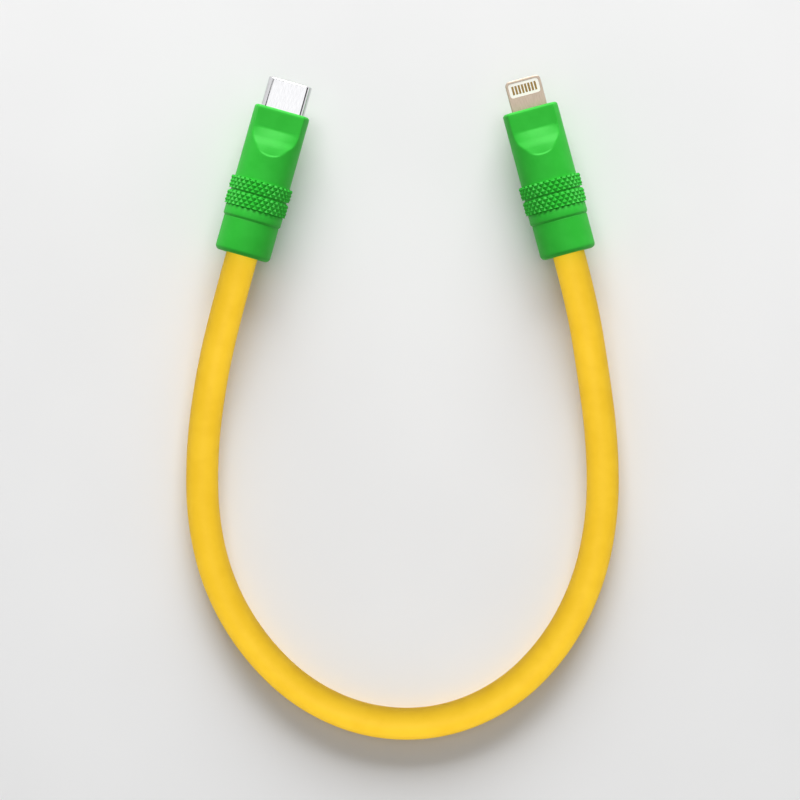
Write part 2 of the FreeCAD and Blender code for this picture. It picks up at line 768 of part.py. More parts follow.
def make_oval_board():
    """The circuit board that the contacts and the wires are soldered to, and its resistor."""
    body = new_body("oval_plug_circuit_board")
    half = f"({CAN_WIDTH} / 2 - can_wall - board_side_room)"
    plan = rectangle(f"-{half}", half, f"-{BOARD_END}", f"-{BOARD_START}")
    pad(body, PLAN, "-oval_board_thickness / 2", "oval_board_thickness / 2", plan)
    keep(body, "oval_plug_circuit_board", OVAL)
    place = ("resistor_x", f"{BOARD_START} + resistor_setback")
    dimensions = ("resistor_length", "resistor_width", "resistor_height")
    make_blocks("oval_plug_resistor", OVAL, CONTACT_SEAT, *dimensions, place)


def make_oval_plug():
    """The oval plug."""
    make_shell()
    make_housing()
    make_contact_row("oval_plug_upper_contacts", OVAL, UPPER_CONTACTS)
    make_contact_row("oval_plug_lower_contacts", OVAL * UPSIDE_DOWN, LOWER_CONTACTS)
    make_latch_plate()
    make_ground_spring("oval_plug_upper_ground_spring", OVAL)
    make_ground_spring("oval_plug_lower_ground_spring", OVAL * UPSIDE_DOWN)
    make_oval_board()
    make_wires("oval_plug", OVAL, "oval_board_thickness")
    make_backshell("oval_plug", OVAL, "shell_width", "shell_height")
    make_moulded_body("oval_plug", OVAL, oval_section)


# The tab plug

WINDOW_FRONT = "(tab_reach - window_rim)"
WINDOW_BACK = f"({WINDOW_FRONT} - window_length)"
WINDOW_MIDDLE = f"({WINDOW_FRONT} - window_length / 2)"
TONGUE_FRONT = "(tab_reach - tongue_setback)"
BOARD_TOP = "(tab_board_thickness / 2 + mould_gap)"


def tab_section(gap="0"):
    """The tab's outline behind its flange, or the hole that it fits."""
    return centred(f"tab_width + 2 * ({gap})", f"tab_thickness + 2 * ({gap})")


def flange_section(gap="0"):
    """The flange's outline, or the hole that it fits."""
    room = f"2 * ({gap})"
    return centred(f"tab_width + 2 * flange_overhang + {room}", f"tab_thickness + 2 * flange_rise + {room}")


def window_outline(gap):
    """The window's outline in plan, drawn in by a gap."""
    half = f"(window_width / 2 - {gap})"
    corner = f"window_corner_radius - {gap}"
    return rounded(f"-{half}", half, f"{WINDOW_BACK} + {gap}", f"{WINDOW_FRONT} - {gap}", corner)


def make_tab_frame():
    """The metal frame of the tab: a flat tongue with a window through it, side detents and a flange."""
    body = new_body("tab_plug_frame")
    half, corner = "tab_width / 2", "tab_corner_radius"
    outline = [
        (half, f"-{TIP_END}"),
        (half, f"tab_reach - {corner}"),
        (f"{half} - {corner}", "tab_reach", corner),
        (f"-{half} + {corner}", "tab_reach"),
        (f"-{half}", f"tab_reach - {corner}", corner),
        (f"-{half}", f"-{TIP_END}"),
    ]
    pad(body, PLAN, "-tab_thickness / 2", "tab_thickness / 2", outline)
    face, back = measure("tab_thickness / 2"), measure(f"-{TIP_END}")

    def on_long_edge(edge):
        box = edge.BoundBox
        return min(abs(box.ZMin), abs(box.ZMax)) > face - 0.01 and box.YMax > back + 0.01

    chamfer(body, "tab_edge_chamfer", on_long_edge)
    pad(body, ACROSS, "flange_depth", "flange_depth + flange_length", flange_section())
    pocket(body, PLAN, "-tab_thickness", "tab_thickness", window_outline("0"))
    channel = centred("tongue_width + 2 * slip_gap", "tab_board_thickness + 2 * slip_gap")
    pocket(body, ACROSS, f"-{WINDOW_BACK} - window_corner_radius", f"{TIP_END} + slip_gap", channel)
    centre = f"{half} + detent_radius - detent_bite"
    level = "tab_reach - detent_setback"
    detents = [circle("2 * detent_radius", f"{side}({centre})", level) for side in ("-", "")]
    pocket(body, PLAN, "-detent_height / 2", "detent_height / 2", *detents)
    keep(body, "tab_plug_frame", TAB)


def pad_outline(gap, number):
    """One contact's outline in plan, or the hole that it fits."""
    middle = f"({number} - {TAB_CONTACTS - 1} / 2) * pad_pitch"
    half_width, half_length = f"(pad_width / 2 + {gap})", f"(pad_length / 2 + {gap})"
    return rectangle(
        f"{middle} - {half_width}",
        f"{middle} + {half_width}",
        f"{WINDOW_MIDDLE} - {half_length}",
        f"{WINDOW_MIDDLE} + {half_length}",
    )


def make_contact_insert():
    """The plastic block moulded in the frame's window, pierced by the contacts of both faces."""
    body = new_body("tab_plug_contact_insert")
    face = "(tab_thickness / 2 - insert_recess)"
    pad(body, PLAN, f"-{face}", face, window_outline("mould_gap"))
    slot = centred("tongue_width + 2 * mould_gap", "tab_board_thickness + 2 * mould_gap")
    pocket(body, ACROSS, f"-{TONGUE_FRONT} - mould_gap", "0", slot)
    holes = [pad_outline("mould_gap", number) for number in range(TAB_CONTACTS)]
    pocket(body, PLAN, "-tab_thickness", "tab_thickness", *holes)
    keep(body, "tab_plug_contact_insert", TAB)


def make_pad_row(label, place):
    """One face's gold contacts, which stand on the board's tongue."""
    body = new_body(label)
    outlines = [pad_outline("0", number) for number in range(TAB_CONTACTS)]
    pad(body, PLAN, BOARD_TOP, "tab_thickness / 2 - pad_recess", *outlines)
    keep(body, label, place)


def make_tab_board():
    """The circuit board, whose tongue reaches forward through the frame, and the parts soldered on it."""
    body = new_body("tab_plug_circuit_board")
    wide, narrow = f"({CAN_WIDTH} / 2 - can_wall - board_side_room)", "tongue_width / 2"
    plan = [
        (wide, f"-{BOARD_END}"),
        (wide, f"-{BOARD_START}"),
        (narrow, f"-{BOARD_START}"),
        (narrow, TONGUE_FRONT),
        (f"-{narrow}", TONGUE_FRONT),
        (f"-{narrow}", f"-{BOARD_START}"),
        (f"-{wide}", f"-{BOARD_START}"),
        (f"-{wide}", f"-{BOARD_END}"),
    ]
    pad(body, PLAN, "-tab_board_thickness / 2", "tab_board_thickness / 2", plan)
    keep(body, "tab_plug_circuit_board", TAB)
    chip = ("0", f"{BOARD_START} + chip_setback")
    make_blocks("tab_plug_control_chip", TAB, BOARD_TOP, "chip_side", "chip_side", "chip_height", chip)
    first = f"{BOARD_START} + capacitor_setback"
    capacitors = [("capacitor_x", first), ("capacitor_x", f"{first} + capacitor_spacing")]
    dimensions = ("capacitor_length", "capacitor_width", "capacitor_height")
    make_blocks("tab_plug_capacitors", TAB, BOARD_TOP, *dimensions, *capacitors)


def make_tab_plug():
    """The tab plug."""
    make_tab_frame()
    make_contact_insert()
    make_pad_row("tab_plug_upper_contacts", TAB)
    make_pad_row("tab_plug_lower_contacts", TAB * UPSIDE_DOWN)
    make_tab_board()
    make_wires("tab_plug", TAB, "tab_board_thickness")
    make_backshell("tab_plug", TAB, "tab_width", "tab_thickness")
    make_moulded_body("tab_plug", TAB, tab_section, flange_section("mould_gap"))


make_cord()
make_oval_plug()
make_tab_plug()
document.recompute()


# Tests and export

faults = []
for item in document.Objects:
    if {"Invalid", "Error"} & set(item.State):
        faults.append(f"{item.Label} is {item.State}")
    if item.TypeId == "PartDesign::Pocket" and item.Shape.Volume > item.BaseFeature.Shape.Volume - 1e-6:
        faults.append(f"{item.Label} cuts nothing")
for piece in pieces:
    if piece.Shape.isNull() or not piece.Shape.isValid() or not piece.Shape.Solids:
        faults.append(f"{piece.Label} has no sound shape")
if faults:
    raise RuntimeError("; ".join(faults))

os.makedirs("parts", exist_ok=True)
for piece in pieces:
    piece.Shape.exportStep(os.path.join("parts", f"{piece.Label}.step"))
print(f"{len(pieces)} pieces, {sum(len(piece.Shape.Solids) for piece in pieces)} solids")
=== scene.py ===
# %% [markdown]
# # A short, thick charging cable
#
# The cable lies on a table. One round yellow cord makes a loop, and each of its ends is moulded into a
# green plug. The left plug has an oval steel tip and the right one a flat metal tab. This file dresses the
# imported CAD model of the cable: it keeps the CAD pieces whose shape is right and paints them, and it builds
# new meshes where the real surface is softer or finer than the CAD solid. The scene is in metres, in the
# CAD model's own frame: the table top is Z = 0, and both plugs point towards +Y. The cable's own sizes are
# written in millimetres, and MM turns them into metres.

# %% Load the CAD model
import bmesh
import bpy
import json
import math
from mathutils import Matrix, Vector


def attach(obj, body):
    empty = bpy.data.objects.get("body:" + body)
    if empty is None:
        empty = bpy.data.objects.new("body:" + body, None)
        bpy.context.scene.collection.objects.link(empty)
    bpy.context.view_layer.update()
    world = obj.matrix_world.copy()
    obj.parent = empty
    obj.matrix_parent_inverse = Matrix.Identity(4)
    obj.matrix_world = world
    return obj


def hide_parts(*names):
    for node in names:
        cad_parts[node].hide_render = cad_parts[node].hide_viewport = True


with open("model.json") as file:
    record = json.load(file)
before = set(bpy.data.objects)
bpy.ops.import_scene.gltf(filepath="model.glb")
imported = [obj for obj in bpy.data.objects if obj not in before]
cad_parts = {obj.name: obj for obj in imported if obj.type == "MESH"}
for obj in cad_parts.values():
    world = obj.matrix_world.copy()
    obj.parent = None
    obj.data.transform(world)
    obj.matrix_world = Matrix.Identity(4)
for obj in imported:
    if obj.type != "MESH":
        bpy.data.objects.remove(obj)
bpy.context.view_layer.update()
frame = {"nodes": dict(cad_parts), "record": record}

MM = 0.001


# %% [markdown]
# ## The camera
#
# The photograph looks straight down on the cable from far above, so the plugs show no front or rear faces.
# A long lens far away gives that flat look. A camera without any perspective would be flatter still, but no
# real one is. The lens follows from two numbers: how wide the picture is at the height of the plugs' axes,
# and how far above them the camera hangs.

# %% Camera
PICTURE_WIDTH = 148.8 * MM
PICTURE_MIDDLE = Vector((-0.98, -43.06, 5.9)) * MM
CAMERA_HEIGHT = 1.4
SENSOR_WIDTH = 36.0

camera_data = bpy.data.cameras.new("camera")
camera_data.sensor_width = SENSOR_WIDTH
camera_data.lens = SENSOR_WIDTH * CAMERA_HEIGHT / PICTURE_WIDTH
camera = bpy.data.objects.new("camera", camera_data)
camera.location = PICTURE_MIDDLE + Vector((0, 0, CAMERA_HEIGHT))
bpy.context.scene.collection.objects.link(camera)
bpy.context.scene.camera = camera
print(f"lens {camera_data.lens:.0f} mm")

# %% [markdown]
# ## The cord
#
# The real cord is one length of flexible rubber-covered cable. It leaves each plug straight, sinks to the
# table and bends in one wide open loop. A smooth spline with a round bevel is the natural way to make it: a
# few control points steer it, and the curve between them has no corners, just like a cord that is free to
# lie as it wants. The points are the CAD route's own points.
#
# A curve's box is drawn from its points' radii, so each point gets the cord's real radius, and the bevel,
# which multiplies it, is 1. The tube comes out the same, and the box fits it.

# %% Cord
CORD_DIAMETER = 6.0 * MM
CORD_ROUTE = [
    (-30.387, -16.225, 5.9),
    (-33.336, -26.719, 5.9),
    (-36.2, -39.0, 3.1),
    (-37.9, -52.0, 3.0),
    (-37.8, -65.5, 3.0),
    (-34.7, -78.1, 3.0),
    (-28.0, -89.4, 3.0),
    (-18.4, -98.4, 3.0),
    (-6.3, -103.4, 3.0),
    (6.8, -103.4, 3.0),
    (18.8, -98.3, 3.0),
    (27.9, -89.3, 3.0),
    (34.1, -77.6, 3.0),
    (36.9, -64.2, 3.0),
    (36.7, -50.3, 3.0),
    (34.9, -37.1, 3.1),
    (32.939, -25.449, 5.9),
    (30.377, -15.886, 5.9),
]

cord_curve = bpy.data.curves.new("cord", "CURVE")
cord_curve.dimensions = "3D"
cord_line = cord_curve.splines.new("NURBS")
cord_line.points.add(len(CORD_ROUTE) - 1)
for point, place in zip(cord_line.points, CORD_ROUTE):
    point.co = (*(Vector(place) * MM), 1)
    point.radius = CORD_DIAMETER / 2
cord_line.order_u = 3
cord_line.use_endpoint_u = True
cord_line.resolution_u = 24
cord_curve.bevel_depth = 1.0
cord_curve.bevel_resolution = 12
cord_curve.use_fill_caps = True

cord = bpy.data.objects.new("cord", cord_curve)
bpy.context.scene.collection.objects.link(cord)
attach(cord, "root")
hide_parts("cable_jacket")
print("cord with", len(cord_line.points), "points")

# %% [markdown]
# ## A small language for materials
#
# A finish is made of nodes, and most of them do sums. Writing each Math node by hand hides what is going
# on, so one class wraps a node's output and gives it Python's own plus, minus and times. Another wraps the
# tree of nodes, and has one method that adds a node of any other kind.

# %% Fields and networks
class Field:
    """A number, colour or vector that varies over a surface: one output of a node."""

    def __init__(self, network, socket):
        self.network, self.socket = network, socket

    def maths(self, operation, first, second):
        return self.network.add("ShaderNodeMath", {"operation": operation}, {0: first, 1: second})

    def __add__(self, other):
        return self.maths("ADD", self, other)

    def __sub__(self, other):
        return self.maths("SUBTRACT", self, other)

    def __rsub__(self, other):
        return self.maths("SUBTRACT", other, self)

    def __mul__(self, other):
        return self.maths("MULTIPLY", self, other)

    __radd__ = __add__
    __rmul__ = __mul__

    def between(self, low, high):
        """This field, fitted from low..high to 0..1 with soft ends."""
        settings = {"interpolation_type": "SMOOTHSTEP"}
        inputs = {"Value": self, "From Min": low, "From Max": high}
        return self.network.add("ShaderNodeMapRange", settings, inputs)


class Network:
    """A tree of nodes in the making, of a material or of the world."""

    def __init__(self, tree):
        self.tree = tree

    def add(self, kind, settings, inputs, output=0):
        """Adds a node of any kind: its settings come first, then the values or fields of its inputs."""
        node = self.tree.nodes.new(kind)
        for name, value in settings.items():
            setattr(node, name, value)
        for name, value in inputs.items():
            if isinstance(value, Field):
                self.tree.links.new(value.socket, node.inputs[name])
            else:
                node.inputs[name].default_value = value
        return Field(self, node.outputs[output])


print("fields can be added, subtracted and multiplied, and a network adds any other node")

# %% [markdown]
# ## Finishes
#
# A finish could be a picture wrapped round a piece, but that needs an unwrapped mesh and blurs close up.
# Noise that is worked out in the piece's own space needs neither, and its size is set in real millimetres.
# So every finish here is noise: clouds shift its colour, and a grain or brushed streaks shift its gloss and
# raise its surface a little.

# %% Colours and sockets
def linear(red, green, blue):
    """A colour as a shader wants it, from the 0 to 255 of a paint chart."""
    parts = [value / 255 for value in (red, green, blue)]
    return (*[part / 12.92 if part < 0.04045 else ((part + 0.055) / 1.055) ** 2.4 for part in parts], 1)


def socket_name(words):
    """The name of a shader's socket, such as Base Color, from the name of an argument, such as base_color."""
    return words.replace("_", " ").title().replace("Ior", "IOR")


print(f"128 on a paint chart is {linear(128, 128, 128)[0]:.2f} in a shader")

# %% Finishes
# Noise below the first edge gives the dark colour, and noise above the second one gives the bright colour
CLOUD_EDGES = (0.3, 0.7)
STREAK_EDGES = (0.25, 0.75)

# How many streaks there are to a metre: across the piece, along it and through it
STREAKS = (9000.0, 700.0, 9000.0)


class Finish(Network):
    """A material in the making. Its shader's own sockets are set by name when it starts."""

    def __init__(self, name, **constants):
        self.material = bpy.data.materials.new(name)
        self.material.use_nodes = True
        super().__init__(self.material.node_tree)
        self.shader = self.tree.nodes["Principled BSDF"]
        for words, value in constants.items():
            self.shader.inputs[socket_name(words)].default_value = value
        self.place = self.add("ShaderNodeTexCoord", {}, {}, "Object")

    def noise(self, size, detail=2.0, place=None):
        """Cloudy noise from 0 to 1, whose blobs are about size metres across."""
        inputs = {"Vector": place or self.place, "Scale": 1 / size, "Detail": detail}
        return self.add("ShaderNodeTexNoise", {}, inputs)

    def brushed(self, lean):
        """Fine noise drawn out into streaks, along an axis that leans by so many degrees from +Y."""
        turn = {"Vector": self.place, "Angle": -math.radians(lean)}
        turned = self.add("ShaderNodeVectorRotate", {"rotation_type": "Z_AXIS"}, turn)
        drawn_out = self.add("ShaderNodeVectorMath", {"operation": "MULTIPLY"}, {0: turned, 1: STREAKS})
        return self.noise(1.0, place=drawn_out)

    def blend(self, factor, first, second):
        """A colour between two. A Mix node's colours are its inputs 6 and 7 and its output 2."""
        return self.add("ShaderNodeMix", {"data_type": "RGBA"}, {0: factor, 6: first, 7: second}, 2)

    def clouds(self, size, dark, bright, detail=2.0):
        """A colour that drifts between two in clouds about size metres across."""
        return self.blend(self.noise(size, detail).between(*CLOUD_EDGES), dark, bright)

    def drive(self, **fields):
        """Feeds fields to the shader's sockets."""
        for words, field in fields.items():
            self.tree.links.new(field.socket, self.shader.inputs[socket_name(words)])

    def bump(self, height, depth):
        """Raises the surface by a field of height, depth metres from 0 to 1."""
        self.drive(normal=self.add("ShaderNodeBump", {}, {"Height": height, "Distance": depth}))


print(f"streaks {1 / STREAKS[0] / MM:.2f} mm wide and {1 / STREAKS[1] / MM:.1f} mm long")

# %% [markdown]
# ## The yellow jacket
#
# The jacket is soft rubber, smooth and nearly matt. Close up, such rubber has a very fine grain from the
# die that it was drawn through, and a faint cloudiness where the pigment is not quite even. Everything that
# comes out of a mould or a die looks alike but for its numbers, so one recipe makes all the rubbers and
# plastics here.

# %% Yellow rubber
def make_moulded_finish(
    name,
    dark,
    bright,
    roughness,
    unevenness=0.1,
    shine=0.5,
    cloud_size=1 * MM,
    cloud_detail=2.0,
    grain_size=0.1 * MM,
    grain_depth=0.003 * MM,
):
    """Rubber or plastic: clouds between two colours, and a fine grain that makes the gloss uneven."""
    finish = Finish(name, specular_ior_level=shine)
    grain = finish.noise(grain_size)
    finish.drive(
        base_color=finish.clouds(cloud_size, linear(*dark), linear(*bright), cloud_detail),
        roughness=roughness + unevenness * grain,
    )
    finish.bump(grain, grain_depth)
    return finish.material


yellow_rubber = make_moulded_finish(
    "yellow_rubber",
    dark=(250, 201, 44),
    bright=(255, 207, 50),
    roughness=0.46,
    shine=0.1,
    cloud_size=4 * MM,
    cloud_detail=3.0,
    grain_size=0.12 * MM,
    grain_depth=0.006 * MM,
)
cord.data.materials.append(yellow_rubber)
print("cord painted with", yellow_rubber.name)

# %% [markdown]
# ## The green mouldings
#
# Both plugs' grips are one green moulding of firm rubber, with the satin skin that a fine spark-worn mould
# leaves. The recipe is the jacket's. Its grain is finer, because a mould's skin is finer than a die's.

# %% Green rubber
green_rubber = make_moulded_finish(
    "green_rubber",
    dark=(43, 179, 49),
    bright=(48, 185, 54),
    roughness=0.45,
    unevenness=0.12,
    shine=0.2,
    cloud_size=3 * MM,
    cloud_detail=3.0,
    grain_size=0.09 * MM,
    grain_depth=0.005 * MM,
)
print("made", green_rubber.name)

# %% [markdown]
# ## Outlines round an axis
#
# A moulding is nearly a turned shape: at any depth behind its front face, its skin is a ring round the
# plug's axis. Stacked solids cut from each other could make it too, but their edges would be sharp and
# their faces uneven. So every ring is written as a radius for each angle. A circle has one radius all
# round. The hole for the steel tip is a flat oval, the hole for the tab and the room for the inner can are
# rectangles, and the room for the crimp ring is a hexagon.

# %% Outlines
TINY = 1e-9


def circle(diameter):
    return lambda angle: diameter / 2


def rectangle(width, height):
    def radius(angle):
        across, up = abs(math.cos(angle)), abs(math.sin(angle))
        return min(width / 2 / max(across, TINY), height / 2 / max(up, TINY))

    return radius


def stadium(width, height):
    """An oval of two half circles and the two straight sides between them."""
    straight = (width - height) / 2

    def radius(angle):
        across, up = abs(math.cos(angle)), abs(math.sin(angle))
        if height / 2 * across <= straight * up:
            return height / 2 / up
        return straight * across + math.sqrt((height / 2) ** 2 - (straight * up) ** 2)

    return radius


def hexagon(diameter):
    """A regular hexagon, whose diameter is from corner to corner."""

    def radius(angle):
        return diameter / 2 * math.cos(math.pi / 6) / math.cos(angle % (math.pi / 3) - math.pi / 6)

    return radius


for name, outline in (("oval", stadium(8, 2)), ("rectangle", rectangle(8, 2)), ("hexagon", hexagon(8))):
    print(f"{name}: {2 * outline(0):.1f} mm wide")

# %% [markdown]
# ## The skin over the rings
#
# The rings are joined by quads, from the front hole over the outside to the rear, and back inside to where
# they began, so the moulding is one closed skin with a hollow in it. The knurl has sharp valleys that cross
# the quads, so its quads are split along their lower diagonal.

# %% Rings
COLUMNS = 240
ANGLES = [math.tau * column / COLUMNS for column in range(COLUMNS)]


def ring(depth, outline):
    """A ring of points round the plug's axis, whose outline gives a radius for each angle."""
    rims = [(outline(angle), angle) for angle in ANGLES]
    return [Vector((rim * math.cos(angle), -depth, rim * math.sin(angle))) for rim, angle in rims]


print(COLUMNS, "points to a ring")

# %% Skin
SHARP_ANGLE = math.radians(42)


def lower_diagonal(corners, points):
    """Splits a quad into two triangles, so that the crease between them is the one nearer the axis."""
    heights = [math.hypot(points[corner].x, points[corner].z) for corner in corners]
    a, b, c, d = corners
    if heights[0] + heights[2] < heights[1] + heights[3]:
        return [(a, b, c), (a, c, d)]
    return [(a, b, d), (b, c, d)]


def skin(name, rings, split, place):
    """A closed mesh over rings of points, which are in a plug's own millimetres, put in its place."""
    points = [point for one in rings for point in one]
    faces = []
    for row in range(len(rings)):
        near, far = row * COLUMNS, (row + 1) % len(rings) * COLUMNS
        for column in range(COLUMNS):
            beside = (column + 1) % COLUMNS
            corners = [near + column, near + beside, far + beside, far + column]
            faces += lower_diagonal(corners, points) if row in split else [tuple(corners)]
    mesh = bpy.data.meshes.new(name)
    mesh.from_pydata([place @ (point * MM) for point in points], [], faces)
    outward = bmesh.new()
    outward.from_mesh(mesh)
    bmesh.ops.recalc_face_normals(outward, faces=outward.faces)
    outward.to_mesh(mesh)
    outward.free()
    mesh.shade_smooth()
    mesh.set_sharp_from_angle(angle=SHARP_ANGLE)
    piece = bpy.data.objects.new(name, mesh)
    bpy.context.scene.collection.objects.link(piece)
    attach(piece, "root")
    print(name, len(mesh.polygons), "faces")
    return piece


print(f"edges of more than {math.degrees(SHARP_ANGLE):.0f} degrees stay sharp")

# %% [markdown]
# ## The grip
#
# The front of the moulding is a barrel with a flat on top and another underneath, for finger and thumb.
# Behind each flat a ramp rises again and ends in a low rounded wall. The wall's edge is half an oval, and
# with the flat it makes the D that shows in the photograph. All of this is cut into the barrel, so it is
# written as a depth of cut under the barrel's skin: the ramp asks for one depth, the wall allows another,
# and the smaller one is cut. A soft "smaller" rounds the foot of the wall and the edges as the mould does.
#
# The ramp is not straight. It begins steep and eases off, then swells once more before the wall, and it is
# crowned from side to side. These gentle bends are what give it the two bright patches of the photograph.

# %% Smooth corners
def soft_smaller(first, second, blend):
    """The smaller of two lengths, with the edge between them rounded."""
    near = max(blend - abs(first - second), 0) / blend
    return min(first, second) - near * near * blend / 4


def soft_larger(first, second, blend):
    return -soft_smaller(-first, -second, blend)


print(f"a corner blended over 0.2 mm is {-soft_smaller(0, 0, 0.2):.2f} mm lower")

# %% Sizes of the grip
BARREL = 10.5
FRONT_RADIUS = 0.55
FLAT_HEIGHT = 3.0

# The ramp: its slope in millimetres up for each one back, and how fast the slope eases off
RAMP_START = 4.0
RAMP_SLOPE = 0.56
RAMP_EASING = 0.078
RAMP_CROWN = 0.034

# The swell, behind the ramp's start
SWELL_START = 1.6
SWELL_LENGTH = 1.7
SWELL_HEIGHT = 0.2

# The half oval of the wall's edge, and how steeply the wall rises
SCOOP_MIDDLE = 4.25
SCOOP_LENGTH = 4.72
SCOOP_HALF_WIDTH = 4.25
WALL_RISE = 1.7

# How far each soft edge is blended
SOFT_CREASE = 0.1
SOFT_FOOT = 0.2
SOFT_EDGE = 0.1

print(f"the scoop ends {SCOOP_MIDDLE + SCOOP_LENGTH:.2f} mm behind the front")

# %% Grip
def grip(depth, inset=0.0):
    """The grip's outline at a depth, drawn in by inset."""
    barrel = BARREL / 2 - inset
    behind = depth - RAMP_START
    swell = min(max((behind - SWELL_START) / SWELL_LENGTH, 0), 1)
    rise = (RAMP_SLOPE - RAMP_EASING * behind / 2) * behind + SWELL_HEIGHT * swell * swell * (3 - 2 * swell)
    ramp = soft_larger(FLAT_HEIGHT, FLAT_HEIGHT + rise, SOFT_CREASE) - inset
    half_ramp = (SCOOP_MIDDLE + SCOOP_LENGTH - RAMP_START) / 2
    crown = RAMP_CROWN * max(1 - (behind / half_ramp - 1) ** 2, 0)

    def radius(angle):
        up = max(abs(math.sin(angle)), TINY)
        sag = 4 * crown * ramp * (math.cos(angle) / up) ** 2
        under_ramp = barrel - 2 * ramp / (1 + math.sqrt(1 + sag)) / up
        across = BARREL / 2 * math.cos(angle) / SCOOP_HALF_WIDTH
        scoop_end = SCOOP_MIDDLE + SCOOP_LENGTH * math.sqrt(max(1 - across**2, 0))
        cut = soft_smaller(under_ramp, WALL_RISE * (scoop_end - depth), SOFT_FOOT)
        return barrel - soft_larger(cut, 0, SOFT_EDGE)

    return radius


print(f"the grip is {2 * grip(RAMP_START / 2)(math.pi / 2):.2f} mm thick between its flats")

# %% [markdown]
# ## The knurl
#
# Two bands of small raised diamonds give the fingers a hold. A real knurl is two sets of V grooves that
# cross, and a picture of bumps would show none of their depth from the side. So the pattern is real
# geometry, from two slanting counts, one for each set of grooves: halfway between whole numbers is the
# bottom of a groove, and where both counts are whole is a diamond's point, which wear and the mould leave a
# little blunt.

# %% Knurl
POINTS_AROUND = 30
ROW_SPACING = 0.7
KNURL_TIP = 5.9
KNURL_DEPTH = 0.46
BLUNT = 0.86
SOFT_POINT = 0.3

# Four rings to a row, from half a row in front of the first points
BAND_ROWS = [quarter / 4 for quarter in range(-2, 11)]


def knurled(rows):
    """The knurl's outline, a number of rows behind the first row of points."""

    def radius(angle):
        around = angle / math.tau * POINTS_AROUND
        off_groove = [abs(count - round(count)) for count in (around + rows / 2, around - rows / 2)]
        height = soft_smaller(1 - 2 * max(off_groove), BLUNT, SOFT_POINT)
        return KNURL_TIP - KNURL_DEPTH * (BLUNT - height)

    return radius


print(f"diamonds {math.tau * KNURL_TIP / POINTS_AROUND:.2f} mm wide in rows {ROW_SPACING} mm apart")

# %% [markdown]
# ## The outside of a moulding
#
# From front to rear: the front face with its rounded edge, the grip, the two knurled bands with a thin
# groove beside each, a smooth ring that ends in a small notch, and the sleeve with its rounded end. Each is
# a few more rings in one long list. Two rings a hair apart keep an edge crisp, and many rings close
# together make a curve smooth.

# %% Sizes outside
BODY_LENGTH = 28.0
FRONT_STEPS = 6
FLAT_END, FLAT_STEP = 3.5, 0.3
PAST_SCOOP, SCOOP_STEP = 0.3, 0.1
CRISP = 0.02
WALL = 0.04
GROOVE = 10.7
GROOVE_LENGTH = 0.2
COLLAR = 10.96
RING_END = 21.08
RING_EDGE = 0.08
RING_EDGE_DROP = 0.03
NOTCH = 10.36
NOTCH_DEPTH = 21.45
SLEEVE_START = 21.6
SLEEVE_EDGE = 0.1
REAR_RADIUS = 0.9
REAR_STEPS = 8

# For each band: how deep its first row of points lies, how many rows behind that the band ends, the
# diameter of the floor in front of it, and how long its front wall is
BANDS = ((14.25, 2.82, BARREL, WALL), (17.13, 2.95, GROOVE, 0.22))

print(len(BANDS), "knurled bands on a body", BODY_LENGTH, "mm long")

# %% Outside of a moulding
def even_steps(start, end, step):
    """Depths from start to end, both included, about step apart."""
    count = round((end - start) / step)
    return [start + (end - start) * number / count for number in range(count + 1)]


def outside_rings():
    """The outside's rings from front to rear, and the rows of quads that the knurl's valleys cross."""
    rings, split = [], set()
    for number in range(FRONT_STEPS + 1):
        turn = math.radians(90 * number / FRONT_STEPS)
        rings.append(ring(FRONT_RADIUS * (1 - math.cos(turn)), grip(0, FRONT_RADIUS * (1 - math.sin(turn)))))
    scoop_end = SCOOP_MIDDLE + SCOOP_LENGTH + PAST_SCOOP
    for start, end, step in ((FRONT_RADIUS, FLAT_END, FLAT_STEP), (FLAT_END, scoop_end, SCOOP_STEP)):
        rings += [ring(depth, grip(depth)) for depth in even_steps(start, end, step)[1:]]
    for first_row, last_row, floor, wall in BANDS:
        rows = BAND_ROWS + [last_row]
        front, back = (first_row + end * ROW_SPACING for end in (rows[0], rows[-1]))
        rings += [ring(front - wall - CRISP, circle(floor)), ring(front - wall, circle(floor))]
        split |= set(range(len(rings), len(rings) + len(rows) - 1))
        rings += [ring(first_row + row * ROW_SPACING, knurled(row)) for row in rows]
        rings.append(ring(back + WALL, circle(GROOVE)))
    rings += [ring(back + GROOVE_LENGTH, circle(COLLAR)), ring(RING_END - RING_EDGE, circle(COLLAR))]
    rings += [ring(RING_END, circle(COLLAR - RING_EDGE_DROP)), ring(NOTCH_DEPTH, circle(NOTCH))]
    sleeve = (SLEEVE_START, SLEEVE_START + SLEEVE_EDGE, BODY_LENGTH - REAR_RADIUS)
    rings += [ring(depth, circle(BARREL)) for depth in sleeve]
    for number in range(1, REAR_STEPS + 1):
        turn = math.radians(90 * number / REAR_STEPS)
        depth = BODY_LENGTH - REAR_RADIUS * (1 - math.sin(turn))
        rings.append(ring(depth, circle(BARREL - 2 * REAR_RADIUS * (1 - math.cos(turn)))))
    return rings, split


print(len(outside_rings()[0]), "rings outside")

# %% [markdown]
# ## The hollow of a moulding
#
# The real moulding is cast round the cord's end, the crimp ring and the can, and fills every gap between
# them. So the inside is as true as the outside: a few plain rings, each a hair larger than the piece that
# it goes round. Nobody sees them until the plug is opened, but a solid lump of rubber would swallow the
# pieces inside.

# %% Hollow of a moulding
GAP = 0.04
CORD_ROOM = circle(CORD_DIAMETER / MM + GAP)
CORD_MOUTH = circle(6.5)
RING_ROOM = hexagon(4.3 + GAP)
RING_BACK = 16.53
CAN_ROOM = rectangle(8.7 + GAP, 3.4 + GAP)
CAN_BACK = 14.02
CAN_FRONT = 4.38


